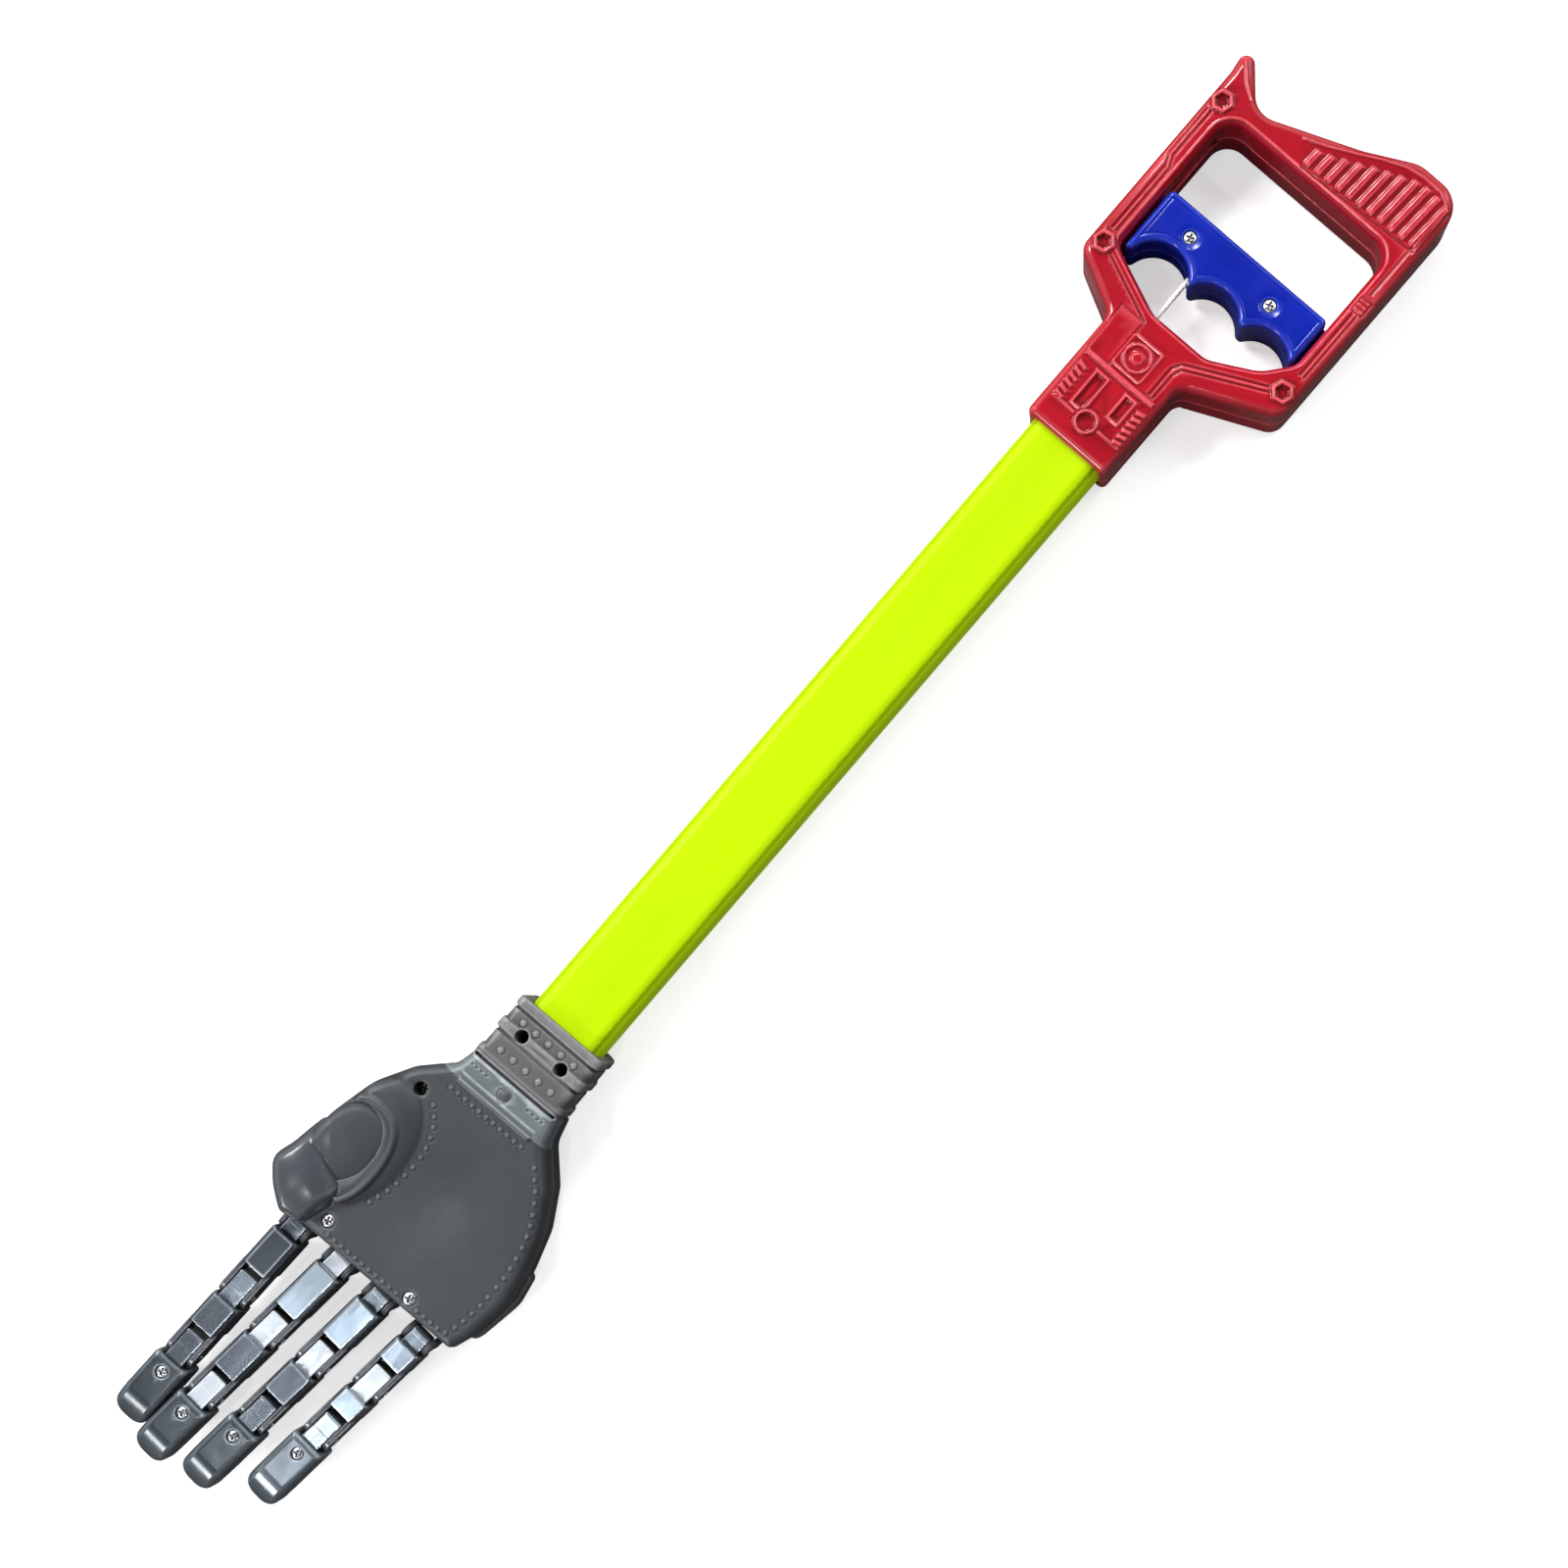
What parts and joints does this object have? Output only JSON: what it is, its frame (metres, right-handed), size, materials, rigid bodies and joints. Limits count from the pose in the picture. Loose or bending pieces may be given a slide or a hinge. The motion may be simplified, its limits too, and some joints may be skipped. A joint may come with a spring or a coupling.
{
  "type": "robot hand reacher grabber",
  "caption": "Toy reacher grabber: D-shaped pull handle with a sliding trigger, flat tube, and a robot hand whose hinged fingers curl towards a fixed thumb.",
  "frame": {"origin": "under the middle of the object's length and width, on the plane it rests on (the back faces of the handle and the palm)", "axes": "+X along the tube from the handle to the fingertips, +Y across towards the little finger, +Z out of the palm"},
  "size_m": [0.5543, 0.0859, 0.0329],
  "materials": {
    "handle_red": "moulded, glossy, bright scarlet to dark red in shade",
    "trigger_blue": "moulded, glossy royal blue",
    "tube_yellow_green": "extruded, glossy fluorescent yellow-green",
    "hand_grey": "moulded, satin dark grey",
    "thumb_grey": "moulded, satin dark grey",
    "finger_gunmetal": "silvery gunmetal, semi-gloss",
    "tip_grey": "dark grey, semi-gloss",
    "steel": "plated steel",
    "cord_white": "nylon cord",
    "slider_natural": "unpainted moulding"
  },
  "bodies": {
    "frame": {"handle_front_shell": "handle_red", "handle_back_shell": "handle_red", "handle_screws": "steel", "tube": "tube_yellow_green", "palm_front_shell": "hand_grey", "palm_back_shell": "hand_grey", "thumb": "thumb_grey", "palm_screws": "steel", "collar_screws": "steel", "return_spring": "steel", "knuckle_pins": "steel"},
    "trigger": {"trigger_front_half": "trigger_blue", "trigger_back_half": "trigger_blue", "trigger_screws": "steel", "pull_cord": "cord_white", "cord_slider": "slider_natural", "finger_cords": "cord_white"},
    "index_proximal": {"index_proximal": "finger_gunmetal", "index_middle_pin": "steel"},
    "index_middle": {"index_middle": "finger_gunmetal", "index_tip_pin": "steel"},
    "index_tip": {"index_tip": "tip_grey", "index_tip_screw": "steel"},
    "middle_proximal": {"middle_proximal": "finger_gunmetal", "middle_middle_pin": "steel"},
    "middle_middle": {"middle_middle": "finger_gunmetal", "middle_tip_pin": "steel"},
    "middle_tip": {"middle_tip": "tip_grey", "middle_tip_screw": "steel"},
    "ring_proximal": {"ring_proximal": "finger_gunmetal", "ring_middle_pin": "steel"},
    "ring_middle": {"ring_middle": "finger_gunmetal", "ring_tip_pin": "steel"},
    "ring_tip": {"ring_tip": "tip_grey", "ring_tip_screw": "steel"},
    "little_proximal": {"little_proximal": "finger_gunmetal", "little_middle_pin": "steel"},
    "little_middle": {"little_middle": "finger_gunmetal", "little_tip_pin": "steel"},
    "little_tip": {"little_tip": "tip_grey", "little_tip_screw": "steel"}
  },
  "joints": [
    {"name": "trigger_slide", "type": "slide", "parent": "frame", "child": "trigger", "axis": [-1, 0, 0], "range_m": [0, 0.022], "stiffness_N_per_m": 120, "springref_m": -0.002, "deforming": ["return_spring", "finger_cords"]},
    {"name": "index_knuckle", "type": "hinge", "parent": "frame", "child": "index_proximal", "pos_m": [0.194, -0.02655, 0.014], "axis": [-0.0262, -0.9997, 0], "range_deg": [0, 66]},
    {"name": "index_middle_hinge", "type": "hinge", "parent": "index_proximal", "child": "index_middle", "pos_m": [0.21979, -0.02722, 0.014], "axis": [-0.0262, -0.9997, 0], "range_deg": [0, 86]},
    {"name": "index_tip_hinge", "type": "hinge", "parent": "index_middle", "child": "index_tip", "pos_m": [0.24418, -0.02786, 0.014], "axis": [-0.0262, -0.9997, 0], "range_deg": [0, 60]},
    {"name": "middle_knuckle", "type": "hinge", "parent": "frame", "child": "middle_proximal", "pos_m": [0.194, -0.00945, 0.014], "axis": [-0.0872, -0.9962, 0], "range_deg": [0, 66]},
    {"name": "middle_middle_hinge", "type": "hinge", "parent": "middle_proximal", "child": "middle_middle", "pos_m": [0.22329, -0.01201, 0.014], "axis": [-0.0872, -0.9962, 0], "range_deg": [0, 86]},
    {"name": "middle_tip_hinge", "type": "hinge", "parent": "middle_middle", "child": "middle_tip", "pos_m": [0.24979, -0.01433, 0.014], "axis": [-0.0872, -0.9962, 0], "range_deg": [0, 61]},
    {"name": "ring_knuckle", "type": "hinge", "parent": "frame", "child": "ring_proximal", "pos_m": [0.1942, 0.00705, 0.014], "axis": [-0.0924, -0.9957, 0], "range_deg": [0, 66]},
    {"name": "ring_middle_hinge", "type": "hinge", "parent": "ring_proximal", "child": "ring_middle", "pos_m": [0.22088, 0.00457, 0.014], "axis": [-0.0924, -0.9957, 0], "range_deg": [0, 86]},
    {"name": "ring_tip_hinge", "type": "hinge", "parent": "ring_middle", "child": "ring_tip", "pos_m": [0.24538, 0.0023, 0.014], "axis": [-0.0924, -0.9957, 0], "range_deg": [0, 61]},
    {"name": "little_knuckle", "type": "hinge", "parent": "frame", "child": "little_proximal", "pos_m": [0.1956, 0.02455, 0.014], "axis": [-0.0941, -0.9956, 0], "range_deg": [0, 66]},
    {"name": "little_middle_hinge", "type": "hinge", "parent": "little_proximal", "child": "little_middle", "pos_m": [0.21511, 0.0227, 0.014], "axis": [-0.0941, -0.9956, 0], "range_deg": [0, 86]},
    {"name": "little_tip_hinge", "type": "hinge", "parent": "little_middle", "child": "little_tip", "pos_m": [0.23622, 0.02071, 0.014], "axis": [-0.0941, -0.9956, 0], "range_deg": [0, 61]}
  ],
  "couplings": [
    {"joint": "index_knuckle", "follows": "trigger_slide", "rad_per_m": 51.567},
    {"joint": "index_middle_hinge", "follows": "trigger_slide", "rad_per_m": 67.433},
    {"joint": "index_tip_hinge", "follows": "trigger_slide", "rad_per_m": 46.807},
    {"joint": "middle_knuckle", "follows": "trigger_slide", "rad_per_m": 51.567},
    {"joint": "middle_middle_hinge", "follows": "trigger_slide", "rad_per_m": 67.433},
    {"joint": "middle_tip_hinge", "follows": "trigger_slide", "rad_per_m": 47.6},
    {"joint": "ring_knuckle", "follows": "trigger_slide", "rad_per_m": 51.567},
    {"joint": "ring_middle_hinge", "follows": "trigger_slide", "rad_per_m": 67.433},
    {"joint": "ring_tip_hinge", "follows": "trigger_slide", "rad_per_m": 47.6},
    {"joint": "little_knuckle", "follows": "trigger_slide", "rad_per_m": 51.567},
    {"joint": "little_middle_hinge", "follows": "trigger_slide", "rad_per_m": 67.433},
    {"joint": "little_tip_hinge", "follows": "trigger_slide", "rad_per_m": 47.6}
  ]
}
